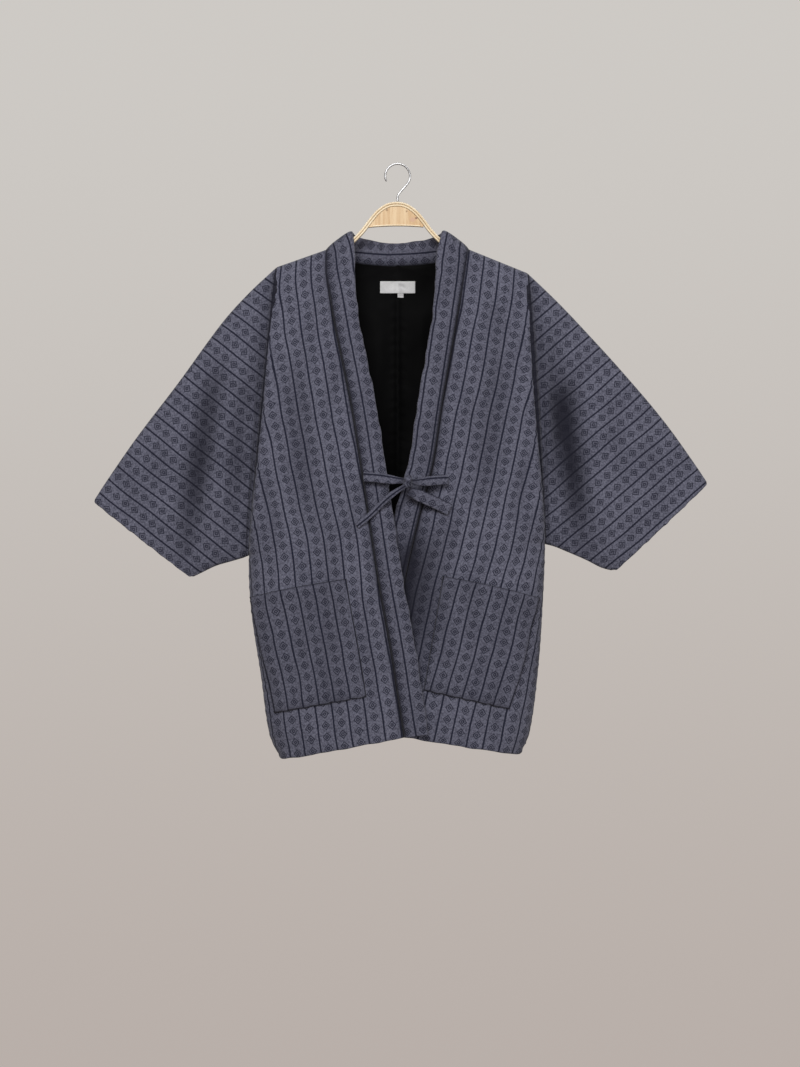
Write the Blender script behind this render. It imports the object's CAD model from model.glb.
import math

import bmesh
import bpy
import numpy as np
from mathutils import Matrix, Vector


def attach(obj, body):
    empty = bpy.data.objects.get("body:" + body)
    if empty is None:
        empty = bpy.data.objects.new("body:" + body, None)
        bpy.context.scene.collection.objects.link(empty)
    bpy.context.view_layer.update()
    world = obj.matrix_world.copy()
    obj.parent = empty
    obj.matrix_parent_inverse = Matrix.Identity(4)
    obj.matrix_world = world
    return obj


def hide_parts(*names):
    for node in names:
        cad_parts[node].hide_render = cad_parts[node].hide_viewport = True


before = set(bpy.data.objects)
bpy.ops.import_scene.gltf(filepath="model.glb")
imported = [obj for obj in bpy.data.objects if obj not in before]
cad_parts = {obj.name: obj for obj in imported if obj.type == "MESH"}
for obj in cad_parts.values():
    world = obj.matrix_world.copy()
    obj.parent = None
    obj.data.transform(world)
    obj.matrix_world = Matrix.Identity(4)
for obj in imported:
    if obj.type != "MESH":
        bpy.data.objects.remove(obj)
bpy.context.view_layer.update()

# A padded cotton hanten on a bent-wood hanger. The tables are in millimetres and the meshes
# in metres. Side -1 is the wearer's right, which is at -X.

scene = bpy.context.scene
scene.view_settings.view_transform = "Standard"
mm = 0.001
deepestShade = 0.92  # of the dark in seams and folds, where 1 would be all dark


class Wire:  # wraps a socket, so that shader maths reads as plain Python
    def __init__(self, tree, socket):
        self.tree = tree
        self.socket = socket

    def math(self, kind, *others):
        return makeNode(self.tree, "ShaderNodeMath", {"operation": kind}, [self, *others])

    def __add__(self, other):
        return self.math("ADD", other)

    def __sub__(self, other):
        return self.math("SUBTRACT", other)

    def __mul__(self, other):
        return self.math("MULTIPLY", other)

    def __truediv__(self, other):
        return self.math("DIVIDE", other)

    def __abs__(self):
        return self.math("ABSOLUTE")

    def __radd__(self, other):
        return self.math("ADD", other)

    def __rmul__(self, other):
        return self.math("MULTIPLY", other)

    def __rsub__(self, other):
        return self * -1 + other

    def fract(self):
        return self.math("FRACT")

    def most(self, other):
        return self.math("MAXIMUM", other)

    def least(self, other):
        return self.math("MINIMUM", other)

    def fade(self, start, end):  # 0 before start and 1 after end, smooth between them
        values = {"Value": self, "From Min": start, "From Max": end, "To Min": 0.0, "To Max": 1.0}
        return makeNode(self.tree, "ShaderNodeMapRange", {"interpolation_type": "SMOOTHSTEP"}, values)


def makeNode(tree, kind, settings=None, values=None, output=0):
    node = tree.nodes.new(kind)
    for name, value in (settings or {}).items():
        setattr(node, name, value)
    pairs = enumerate(values) if isinstance(values, list) else (values or {}).items()
    for name, value in pairs:
        value = getattr(value, "socket", value)
        if isinstance(value, bpy.types.NodeSocket):
            tree.links.new(value, node.inputs[name])
        else:
            node.inputs[name].default_value = value
    return Wire(tree, node.outputs[output])


def mixColour(tree, factor, first, second):  # colours are plain (red, green, blue) or wires
    colours = {i: (*c, 1) if isinstance(c, tuple) else c for i, c in ((6, first), (7, second))}
    return makeNode(tree, "ShaderNodeMix", {"data_type": "RGBA"}, {0: factor, **colours}, output=2)


def grain(tree, place, scale, detail=2.0, rough=0.5):
    values = {"Vector": place, "Scale": scale, "Detail": detail, "Roughness": rough}
    return makeNode(tree, "ShaderNodeTexNoise", {}, values)


def stretched(tree, place, scale):
    return makeNode(tree, "ShaderNodeMapping", {"vector_type": "POINT"}, {"Vector": place, "Scale": scale})


def objectPlace(tree):
    return makeNode(tree, "ShaderNodeTexCoord", output=3)


def newMaterial(name, fixed):
    material = bpy.data.materials.new(name)
    material.use_nodes = True
    for socket, value in fixed.items():
        material.node_tree.nodes["Principled BSDF"].inputs[socket].default_value = value
    return material, material.node_tree


def finishMaterial(material, colour, rough, height, bumpDepth, bumpStrength=1.0):
    tree = material.node_tree
    bump = makeNode(tree, "ShaderNodeBump", {}, {"Height": height, "Distance": bumpDepth,
                                                 "Strength": bumpStrength})
    for name, value in (("Base Color", colour), ("Roughness", rough), ("Normal", bump)):
        tree.links.new(value.socket, tree.nodes["Principled BSDF"].inputs[name])
    return material


clothLook = {
    "stripePitch": 0.027, "stripeHalf": 0.00142, "rowPitch": 0.0187,
    "lozengeHalfWide": 0.0072, "lozengeHalfTall": 0.0076,
    "ground": (0.186, 0.188, 0.250), "groundLow": (0.025, 0.026, 0.044),
    "stripe": (0.004, 0.005, 0.017), "figure": (0.010, 0.011, 0.024),
    "hollow": (0.006, 0.006, 0.013),
    "outerLine": (0.73, 0.81, 0.97, 1.05), "innerLine": (0.17, 0.25, 0.42, 0.50), "insideTint": 0.14,
    "stripeWaver": 0.0009, "rowWaver": 0.0012,
}


def band(value, limits):  # 1 between the two middle limits and 0 outside the outer two
    return value.fade(*limits[:2]) * (1 - value.fade(*limits[2:]))


def clothMaterial():  # stripes along the grain, with a row of lozenges between each two
    look = clothLook
    material, tree = newMaterial("hantenCloth", {"Roughness": 0.9, "Sheen Weight": 0.12,
                                                 "Sheen Roughness": 0.5, "Specular IOR Level": 0.2})
    cloth = makeNode(tree, "ShaderNodeUVMap", {"uv_map": "cloth"})
    plainU, plainV = (makeNode(tree, "ShaderNodeSeparateXYZ", {}, [cloth], output=i) for i in (0, 1))
    sideways = grain(tree, cloth, 240.0, 1.0) - 0.5
    lengthways = grain(tree, stretched(tree, cloth, (1, 1.3, 1)), 210.0, 1.0) - 0.5
    u = plainU + sideways * look["stripeWaver"]
    v = plainV + lengthways * look["rowWaver"]
    column = u / look["stripePitch"]
    fromStripe = abs((column + 0.5).fract() - 0.5) * look["stripePitch"]
    stripe = 1 - fromStripe.fade(look["stripeHalf"] * 0.72, look["stripeHalf"] * 1.3)
    beside = abs(column.fract() - 0.5) * (look["stripePitch"] / look["lozengeHalfWide"])
    above = abs((v / look["rowPitch"]).fract() - 0.5) * (look["rowPitch"] / look["lozengeHalfTall"])
    ring = beside + above  # 0 at a lozenge's middle and 1 at its edge
    lines = band(ring, look["outerLine"]).most(band(ring, look["innerLine"]))
    inside = (1 - ring.fade(0.86, 1.0)) * look["insideTint"]
    yarn = grain(tree, stretched(tree, cloth, (1.0, 0.14, 1.0)), 1500.0, 2.0, 0.6)
    weft = grain(tree, stretched(tree, cloth, (0.16, 1.0, 1.0)), 1300.0, 2.0, 0.6)
    heather = grain(tree, cloth, 290.0, 4.0, 0.8)
    broken = 0.80 + 0.32 * heather.fade(0.62, 0.36)
    figure = (lines * broken + inside).least(deepestShade)
    tone = grain(tree, stretched(tree, cloth, (1, 0.4, 1)), 26.0, 3.0, 0.6)
    light = heather.fade(0.36, 0.64) * 0.60 + yarn.fade(0.3, 0.7) * 0.26 + tone.fade(0.3, 0.7) * 0.14
    ground = mixColour(tree, light, look["groundLow"], look["ground"])
    figured = mixColour(tree, figure, ground, look["figure"])
    colour = mixColour(tree, stripe * (0.84 + 0.16 * weft), figured, look["stripe"])
    shade = makeNode(tree, "ShaderNodeAttribute", {"attribute_name": "shade"}, output=2)
    colour = mixColour(tree, shade.least(deepestShade), colour, look["hollow"])
    rough = 0.84 + 0.12 * heather
    height = yarn * 0.5 + weft * 0.5 - stripe * 0.25
    return finishMaterial(material, colour, rough, height, 0.00035, 0.55)


def liningMaterial():
    material, tree = newMaterial("blackLining", {"Specular IOR Level": 0.05})
    place = objectPlace(tree)
    weave = grain(tree, stretched(tree, place, (1, 1, 0.2)), 1500.0, 2.0)
    tone = grain(tree, place, 9.0, 2.0)
    colour = mixColour(tree, (weave * 0.5 + tone * 0.5).fade(0.3, 0.7), (0.0009, 0.0009, 0.0010),
                       (0.0024, 0.0024, 0.0027))
    return finishMaterial(material, colour, 0.55 + 0.2 * weave, weave, 0.0002, 0.3)


def labelMaterial():
    material, tree = newMaterial("labelTape", {"Sheen Weight": 0.1})
    place = objectPlace(tree)
    rib = grain(tree, stretched(tree, place, (0.2, 1, 1)), 2600.0, 2.0)
    tone = grain(tree, place, 60.0, 2.0)
    light = (rib * 0.6 + tone * 0.4).fade(0.3, 0.7)
    colour = mixColour(tree, light, (0.50, 0.50, 0.51), (0.66, 0.66, 0.67))
    return finishMaterial(material, colour, 0.45 + 0.2 * rib, rib, 0.0002, 0.4)


def threadMaterial(name, dark, light):
    material, tree = newMaterial(name, {"Sheen Weight": 0.1})
    place = objectPlace(tree)
    twist = grain(tree, place, 1800.0, 2.0)
    return finishMaterial(material, mixColour(tree, twist, dark, light), 0.6 + 0.2 * twist, twist, 0.0001)


def woodMaterial(name, stretch, light, dark, knots=()):
    material, tree = newMaterial(name, {"Coat Weight": 0.25, "Coat Roughness": 0.25})
    place = objectPlace(tree)
    fibre = grain(tree, stretched(tree, place, stretch), 900.0, 3.0, 0.6)
    bands = grain(tree, stretched(tree, place, stretch), 95.0, 2.0, 0.5)
    colour = mixColour(tree, (fibre * 0.35 + bands * 0.65).fade(0.34, 0.62), dark, light)
    for x, z, size, tint in knots:  # each knot is a little wider than it is tall
        flat = makeNode(tree, "ShaderNodeVectorMath", {"operation": "MULTIPLY"}, [place, (1.0, 0.0, 1.15)])
        centre = (x * mm, 0.0, z * mm * 1.15)
        away = makeNode(tree, "ShaderNodeVectorMath", {"operation": "DISTANCE"}, [flat, centre], output=1)
        spot = 1 - (away + (fibre - 0.5) * 0.003).fade(size * 0.35 * mm, size * mm)
        colour = mixColour(tree, spot * 0.85, colour, tint)
    return finishMaterial(material, colour, 0.36 + 0.16 * fibre, fibre, 0.0002, 0.35)


def steelMaterial():
    material, tree = newMaterial("hookSteel", {"Metallic": 1.0})
    place = objectPlace(tree)
    brush = grain(tree, stretched(tree, place, (1, 1, 0.3)), 1200.0, 2.0)
    wear = grain(tree, place, 140.0, 3.0)
    colour = mixColour(tree, wear.fade(0.35, 0.7), (0.50, 0.50, 0.51), (0.66, 0.66, 0.67))
    return finishMaterial(material, colour, 0.24 + 0.18 * brush + 0.08 * wear, brush, 0.00005, 0.5)


print("materials")
hantenCloth = clothMaterial()
blackLining = liningMaterial()
labelTape = labelMaterial()
navyThread = threadMaterial("navyThread", (0.006, 0.007, 0.016), (0.022, 0.023, 0.042))
paleThread = threadMaterial("paleThread", (0.42, 0.42, 0.42), (0.62, 0.62, 0.61))
hookSteel = steelMaterial()


# The cut of the jacket. Drops run down the cloth from the shoulder fold, in mm.
body = {
    "wall": 6.0, "foldRadius": 13.0, "armholeLength": 484.0, "armholeHalf": 34.0, "neckDrop": 64.0,
    "neckDip": 23.0, "neckRound": 0.6, "backHem": -950.0, "length": 819.0, "sideRound": 3.0,
    "roundTop": 2.5, "roundLow": 1.7, "lapDepth": 9.0, "lapStart": 250.0, "lapEnd": 410.0,
    "lapReach": 150.0, "seamGap": 0.35, "neckGap": 0.9, "overlap": 0.4, "gridWide": 200.0,
    "columnStep": 3.4, "rowStep": 4.2, "rimCut": 0.75, "turnFrom": 0.84, "backSpread": 1.03,
}
bodyRows = {
    -1: {
        "drop": [0, 39, 82, 125, 264, 390, 484, 563, 677, 775, 819],
        "seamX": [-117, -118, -112, -105, -77, -57, -43, -31, -11, 4, 11],
        "seamZ": [-141, -180, -222, -265, -401, -526, -619, -697, -808, -906, -950],
        "edgeX": [-202, -205, -209, -214, -227, -241, -249, -246, -229, -215, -197],
        "edgeZ": [-171, -210, -253, -297, -437, -563, -652, -737, -852, -948, -990],
    },
    1: {
        "drop": [0, 43, 106, 264, 363, 438, 484, 563, 677, 775, 819],
        "seamX": [116, 110, 101, 74, 59, 40, 29, 12, -10, -30, -38],
        "seamZ": [-140, -183, -246, -401, -499, -572, -617, -694, -805, -901, -943],
        "edgeX": [217, 220, 220, 230, 239, 245, 247, 244, 236, 222, 207],
        "edgeZ": [-181, -221, -280, -427, -520, -590, -633, -718, -838, -943, -982],
    },
}
depthRows = {
    "drop": [0, 13, 40, 64, 125, 242, 400, 484, 600, 819],
    "front": [0, 3, 8, 12, 23, 34, 43, 46, 48, 50],
    "back": [0, 5, 20, 30, 36, 42, 46, 47, 47, 46],
}
bandRows = {
    "front": {
        "drop": [0, 8, 22, 38, 90, 130, 500, 819],
        "inward": [41, 44, 46.5, 46.5, 42.5, 40.5, 39.7, 40],
        "ahead": [0, 0, 0, 0, 0, 0, 0, 0],
        "up": [31, 26, 16.5, 11, 7.5, 6.5, 7.5, 5],
    },
    "back": {
        "drop": [0, 4, 13, 22, 38, 52, 60, 64],
        "inward": [41, 40, 38, 34, 22, 9, 4, 0],
        "ahead": [0, -1, -3, -5, -7, -6, -4, -3],
        "up": [31, 32, 33, 35, 37.5, 38, 36.5, 36],
    },
}
sleeveRows = {
    -1: {
        "reach": [0, 0.15, 0.31, 0.55, 0.8, 1],
        "topX": [-202, -248, -293, -366, -441, -508], "topZ": [-171, -214, -264, -364, -463, -561],
        "lowX": [-249, -259, -276, -303, -328, -345], "lowZ": [-652, -656, -661, -669, -681, -689],
        "half": [30, 29, 28, 26, 24, 22],
    },
    1: {
        "reach": [0, 0.15, 0.31, 0.55, 0.8, 1],
        "topX": [217, 264, 308, 379, 450, 518], "topZ": [-181, -226, -272, -350, -435, -531],
        "lowX": [247, 262, 284, 314, 340, 363], "lowZ": [-633, -637, -646, -659, -672, -678],
        "half": [30, 29, 28, 26, 24, 22],
    },
}
# Folds by side and face: from x, z, to x, z, width, depth. A negative depth is a ridge.
bodyFolds = {
    (-1, "front"): [
        (-170, -330, -150, -600, 26, 6), (-120, -560, -112, -900, 24, 3),
    ],
    (1, "front"): [
        (178, -260, 140, -560, 26, 6), (62, -640, 40, -860, 30, 6),
    ],
    (-1, "back"): [
        (-150, -300, -175, -640, 34, 8), (-80, -480, -95, -900, 30, 5),
    ],
    (1, "back"): [
        (140, -360, 165, -760, 32, 7), (70, -420, 60, -800, 30, 5),
    ],
}
bodyCreases = {
    (-1, "front"): [
        (-205, -300, -214, -430, 11, -1.6), (-222, -520, -196, -640, 13, 2.2),
        (-132, -205, -150, -300, 16, 1.6), (-100, -330, -118, -452, 13, 1.7),
        (-96, -470, -104, -560, 11, -1.5), (-66, -540, -84, -640, 12, 1.9),
        (-190, -640, -206, -760, 12, -1.8), (-152, -730, -168, -880, 14, 1.9),
        (-60, -700, -44, -880, 13, 2.1), (-92, -860, -84, -960, 11, -1.3),
        (-214, -830, -196, -960, 10, 1.6), (-26, -760, -8, -900, 9, -1.2),
    ],
    (1, "front"): [
        (216, -300, 222, -420, 11, -1.5), (150, -210, 163, -290, 15, 1.7), (112, -360, 124, -470, 13, 1.8),
        (214, -480, 196, -600, 13, 2.4), (96, -540, 84, -650, 12, 2.0), (168, -610, 176, -720, 14, -1.9),
        (120, -690, 128, -800, 13, 2.2), (212, -700, 220, -830, 12, 1.9), (84, -790, 74, -930, 12, -1.6),
        (168, -840, 160, -960, 12, 1.7), (24, -720, 6, -880, 10, 1.5), (196, -880, 188, -965, 10, -1.2),
    ],
    (-1, "back"): [
        (-118, -215, -126, -360, 15, 2.0), (-40, -260, -52, -430, 18, 2.2),
        (-206, -380, -222, -560, 14, 2.3), (-120, -560, -136, -720, 15, -2.0),
        (-198, -700, -186, -900, 14, 2.0), (-36, -620, -30, -820, 16, 1.9),
        (-62, -820, -68, -940, 13, -1.5), (-150, -780, -146, -940, 13, 1.7),
    ],
    (1, "back"): [
        (36, -240, 50, -380, 17, 2.0), (112, -230, 104, -340, 14, -1.7), (206, -340, 222, -520, 14, 2.3),
        (118, -500, 124, -680, 14, 2.1), (200, -560, 210, -700, 13, -1.8), (34, -560, 28, -740, 15, 2.0),
        (110, -780, 104, -930, 14, 1.8), (196, -800, 186, -940, 13, 1.9),
    ],
}
sleeveFolds = {
    (-1, "front"): [
        (-310, -370, -354, -650, 21, 13), (-262, -380, -272, -620, 17, 8),
    ],
    (1, "front"): [
        (278, -390, 305, -650, 22, 16), (260, -290, 268, -450, 20, 7),
    ],
    (-1, "back"): [
        (-330, -400, -320, -620, 24, 9),
    ],
    (1, "back"): [
        (330, -410, 318, -610, 24, 9),
    ],
}
sleeveCreases = {
    (-1, "front"): [
        (-290, -310, -318, -425, 22, 3.0), (-236, -290, -252, -420, 14, 2.6),
        (-380, -430, -418, -560, 20, 1.8), (-286, -500, -292, -640, 12, -1.8),
        (-352, -360, -372, -440, 14, -1.3), (-440, -520, -452, -600, 13, 1.5),
        (-340, -610, -356, -668, 12, 2.0), (-400, -600, -384, -652, 11, -1.2),
    ],
    (1, "front"): [
        (300, -330, 281, -440, 20, 2.6), (262, -400, 264, -560, 15, 3.0), (352, -390, 372, -520, 18, 1.9),
        (330, -560, 336, -650, 13, -1.8), (420, -450, 430, -560, 15, 1.6), (392, -580, 388, -640, 12, 1.7),
        (300, -610, 316, -655, 12, 2.0), (470, -520, 466, -580, 11, -1.2),
    ],
    (-1, "back"): [
        (-262, -300, -276, -460, 16, 2.8), (-396, -450, -392, -600, 18, 2.2),
        (-290, -520, -296, -640, 13, -1.8), (-440, -510, -430, -600, 13, 1.5),
    ],
    (1, "back"): [
        (266, -320, 274, -470, 16, 2.8), (400, -450, 386, -590, 18, 2.2), (300, -540, 304, -640, 13, -1.8),
        (450, -500, 446, -590, 13, 1.5),
    ],
}
stripeStart = {-1: 11.6, 1: 4.3}  # from the collar seam to the first stripe
# How far the stripes of each front drift towards the seam, down the cloth.
stripeDrift = {
    -1: {"drop": [0, 72, 105, 155, 206, 255, 305, 355, 440, 490, 528, 600, 650, 704, 797, 819],
         "shift": [10.8, 10.8, 10.6, 8, 6.6, 4.6, 5, 6.8, 11.8, 14, 13, 7.5, 6.6, 8.3, 8.3, 8.3]},
    1: {"drop": [0, 69, 156, 207, 312, 363, 450, 501, 543, 806, 819],
        "shift": [0, 0, 2, 2.5, 7.6, 10, 6, 6, 8, 14, 14]},
}
stripeWobble = {"body": 0.7, "sleeve": 1.0}


def wobble(run, seed):  # how uneven the cloth lies, on a scale of about 1
    return np.sin(run / 23.0 + seed) * 0.6 + np.sin(run / 11.7 + seed * 2.1) * 0.4


def ease(t):  # 0 to 1, smooth at both ends
    t = np.clip(t, 0, 1)
    return t * t * (3 - 2 * t)


def bell(away, width):  # 1 at its middle, and about a third at its width
    return np.exp(-((away / width) ** 2))


def shadow(away, look):  # the shade beside a seam or an edge, look being (strength, width)
    return look[0] * bell(away, look[1])


def along(rows, key, column, at):  # reads one column of a table smoothly at any key
    keys = np.array(rows[key], float)
    values = np.array(rows[column], float)
    at = np.asarray(at, float)
    last = len(keys) - 1
    i = np.clip(np.searchsorted(keys, at, side="left") - 1, 0, last - 1)
    before, after = np.maximum(i - 1, 0), np.minimum(i + 2, last)
    leave = (values[i + 1] - values[before]) / (keys[i + 1] - keys[before])
    arrive = (values[after] - values[i]) / (keys[after] - keys[i])
    span = keys[i + 1] - keys[i]
    t = (at - keys[i]) / span
    bend = t * (1 - t) * span * (leave * (1 - t) - arrive * t)
    smooth = t * t * (3 - 2 * t)
    return values[i] * (1 - smooth) + values[i + 1] * smooth + bend


def trough(x, z, fromX, fromZ, toX, toZ, width):  # how far along a fold points are, and how near it
    runX, runZ = toX - fromX, toZ - fromZ
    t = np.clip(((x - fromX) * runX + (z - fromZ) * runZ) / (runX ** 2 + runZ ** 2), 0, 1)
    away = np.hypot(x - fromX - runX * t, z - fromZ - runZ * t)
    return t, bell(away, width)


def sink(folds, side, face, x, z):  # how deep the folds of one side and face are, shallower at their ends
    total = np.zeros(np.broadcast(x, z).shape)
    for *line, depth in folds[side, face]:
        t, near = trough(x, z, *line)
        total = total + depth * (0.40 + 0.60 * np.sin(math.pi * t)) * near
    return total


def ripple(t, seed, lengths=((61, 1.0), (37, 0.7), (23, 0.45))):  # uneven waves along a run
    total = 0
    for i, (wave, part) in enumerate(lengths):
        slow = 1.3 * np.sin(t / (wave * 2.9) + seed * 1.7 + i)
        total = total + part * np.sin(2 * math.pi * t / wave + seed * (2.3 + i) + slow)
    return total


def armholeDepth(drop):  # half the armhole's opening, front to back
    off = np.clip(2 * drop / body["armholeLength"] - 1, -1, 1)
    power = np.where(off < 0, body["roundTop"], body["roundLow"])
    return body["armholeHalf"] * (1 - np.abs(off) ** power) ** (1 / power)


def rowEnds(side, face, drop):  # the x and z of a row's ends, at the seam and then at the side
    rows = bodyRows[side]
    if face == "front":
        x, z = (along(rows, "drop", key, drop) for key in ("seamX", "seamZ"))
    else:
        neck = np.minimum(drop / body["neckDrop"], 1)
        x = rows["seamX"][0] * (1 - neck ** 2) ** body["neckRound"] - side * body["overlap"] / 2
        neckZ = rows["seamZ"][0] - body["neckDip"] * neck
        below = np.maximum(drop - body["neckDrop"], 0) / (body["length"] - body["neckDrop"])
        z = neckZ + (body["backHem"] - neckZ) * below
    return x, z, along(rows, "drop", "edgeX", drop), along(rows, "drop", "edgeZ", drop)


padding = {"seamDip": 3.2, "edgeRoll": 2.0, "wave": 0.5, "dimple": 0.35, "pucker": 0.7, "hemWave": 0.45,
           "hemRipple": 0.5, "hemCorner": 7.0}
# Shades of the body, those beside an edge as (strength, width).
bodyDark = {
    "seam": (0.88, 2.5), "besideSeam": (0.24, 9), "edge": (0.75, 1.7), "underLap": (0.84, 40),
    "folds": 0.052, "creases": 0.080,
}


def bodyShade(side, face, x, z, across, drop, width):  # 0 in the open and 1 deep in a seam or fold
    fromSeam, fromEdge = across * width, (1 - across) * width
    sewn = ease((body["armholeLength"] + 12 - drop) / 30) * ease(drop / 30)
    shade = shadow(fromSeam, bodyDark["seam"]) + shadow(fromSeam, bodyDark["besideSeam"])
    shade = shade + shadow(fromEdge, bodyDark["edge"]) * sewn
    shade = shade + bodyDark["folds"] * sink(bodyFolds, side, face, x, z)
    shade = shade + bodyDark["creases"] * np.maximum(sink(bodyCreases, side, face, x, z), 0)
    if face == "front" and side > 0:  # under the other front's edge
        shade = shade + shadow(fromSeam, bodyDark["underLap"]) * ease((drop - 420) / 130)
    return np.clip(shade, 0, deepestShade)


def bodyRelief(side, face, x, z, across, drop, width):  # how far the cloth stands out, in mm
    fromSeam, fromEdge = across * width, (1 - across) * width
    middle = ease(across / 0.10) * ease((1 - across) / 0.10)
    out = -sink(bodyCreases, side, face, x, z) * middle * ease(drop / 60)
    waves = np.sin(x / 13.0 + z / 31.0 + side) + np.sin(x / 21.0 - z / 17.0)
    out = out + padding["wave"] * waves * middle
    dimples = padding["dimple"] * np.sin(x / 7.1 + np.sin(z / 19.0) * 1.4) * np.sin(z / 11.3 + side)
    out = out + dimples * middle
    out = out - padding["seamDip"] * bell(fromSeam, 5.5) * ease((drop - 60) / 50)
    sewn = ease((body["armholeLength"] - drop) / 60) * ease((drop - 20) / 60)
    out = out + padding["edgeRoll"] * bell(fromEdge - 10, 8) * sewn
    for away, seed in ((fromSeam, 1.0), (fromEdge, 2.0)):
        pucker = ripple(drop, seed + side + (face == "back"), ((19, 1.0), (13, 0.8), (8.5, 0.5)))
        near = bell(away - 5, 8) * ease(away / 3)
        out = out + padding["pucker"] * pucker * near * ease(drop / 120)
    fromHem = body["length"] - drop
    out = out + padding["hemRipple"] * ripple(x, 4.0 + side, ((31, 1.0), (19, 0.6))) * bell(fromHem, 16)
    return out * ease(drop / 40)


def bodyPoint(side, face, across, drop, inset, folds=True):
    startX, startZ, edgeX, edgeZ = rowEnds(side, face, drop)
    level = np.minimum(drop / body["foldRadius"], 1)
    turn = np.sqrt(1 - (1 - level) ** 2)
    width = np.hypot(edgeX - startX, edgeZ - startZ)
    x = startX + (edgeX - startX) * across
    z = startZ + (edgeZ - startZ) * across
    if folds:
        inset = inset - bodyRelief(side, face, x, z, across, drop, width)
    edgeX = edgeX - side * inset
    x = startX + (edgeX - startX) * across
    depth = body["foldRadius"] * turn + along(depthRows, "drop", face, drop) - inset * turn
    armhole = np.where(drop < body["armholeLength"], armholeDepth(drop), 0)
    z = z - inset * (1 - level)
    curve = np.maximum(1 - across ** body["sideRound"], 0) ** (1 / body["sideRound"])
    out = armhole + (depth - armhole) * curve - body["overlap"] / 2
    middle = ease(across / 0.2) * ease((1 - across) / 0.2) * ease(drop / 80)
    out = out - sink(bodyFolds, side, face, x, z) * middle
    if face == "front":
        near = bell(across * np.abs(edgeX - startX), body["lapReach"])
        lift = ease((drop - body["lapStart"]) / (body["lapEnd"] - body["lapStart"]))
        out = out - side * body["lapDepth"] * lift * near * (1 - across ** 2)
    hem = bell(body["length"] - drop, 22) * padding["hemWave"]
    z = z + hem * ripple(x + 40 * (face == "back"), side * 3.0, ((67, 1.0), (41, 0.6), (26, 0.4)))
    if folds:
        fromHem = np.maximum(body["length"] - drop, 0)
        z = z + rounded((1 - across) * width, padding["hemCorner"]) * bell(fromHem, 14)
    y = -out if face == "front" else out
    return np.stack(np.broadcast_arrays(x, y, z), -1)


def rimmed(start, end, step, rim=(0.0, 0.35, 1.1, 2.2, 3.8)):  # grid lines, closer at both ends
    rim = np.array(rim)
    count = max(int(round((end - start - 2 * rim[-1]) / step)), 2)
    middle = np.linspace(start + rim[-1], end - rim[-1], count + 1)
    return np.concatenate([start + rim[:-1], middle, (end - rim[:-1])[::-1]])


def rounded(away, radius):  # how far a face draws in near its edge, for a rounded rim
    t = np.clip(away / radius, 0, 1)
    return radius * (1 - np.sqrt(1 - (1 - t) ** 2))


def directions(centres):  # unit vectors along a route
    tangents = np.gradient(centres, axis=0)
    return tangents / np.linalg.norm(tangents, axis=1)[:, None]


def runLengths(centres):  # how far along a route each of its points is
    return np.concatenate([[0], np.cumsum(np.linalg.norm(np.diff(centres, axis=0), axis=1))])


def roundedRing(corners, squareness):  # the outline of a rounded bar, as two lists from -1 to 1
    angles = np.arange(corners) / corners * 2 * math.pi
    return [np.sign(wave) * np.abs(wave) ** (2 / squareness) for wave in (np.cos(angles), np.sin(angles))]


def addObject(name, data):
    made = bpy.data.objects.new(name, data)
    scene.collection.objects.link(made)
    return made


def makeMesh(name, points, faces, uv, shells, materials, shade=None):
    mesh = bpy.data.meshes.new(name)
    mesh.from_pydata((np.asarray(points) * mm).tolist(), [], faces)
    if shade is not None:
        mesh.attributes.new("shade", "FLOAT", "POINT").data.foreach_set("value", np.ravel(shade))
    for material in materials:
        mesh.materials.append(material)
    mesh.polygons.foreach_set("material_index", shells)
    mesh.polygons.foreach_set("use_smooth", [True] * len(faces))
    layer = mesh.uv_layers.new(name="cloth")
    corners = np.empty(len(mesh.loops), int)
    mesh.loops.foreach_get("vertex_index", corners)
    layer.data.foreach_set("uv", (np.asarray(uv)[corners] * mm).ravel())
    work = bmesh.new()
    work.from_mesh(mesh)
    if work.calc_volume(signed=True) < 0:
        bmesh.ops.reverse_faces(work, faces=work.faces)
    work.to_mesh(mesh)
    work.free()
    return addObject(name, mesh)


def tube(name, points, uv, material, shade=None):  # rings of points joined up and closed at both ends
    rows, corners = points.shape[:2]
    faces = [(r * corners + c, r * corners + (c + 1) % corners, (r + 1) * corners + (c + 1) % corners,
              (r + 1) * corners + c) for r in range(rows - 1) for c in range(corners)]
    faces.append(tuple(range(corners))[::-1])
    faces.append(tuple((rows - 1) * corners + c for c in range(corners)))
    slots = [0] * len(faces)
    return makeMesh(name, points.reshape(-1, 3), faces, uv.reshape(-1, 2), slots, [material], shade)


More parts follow.
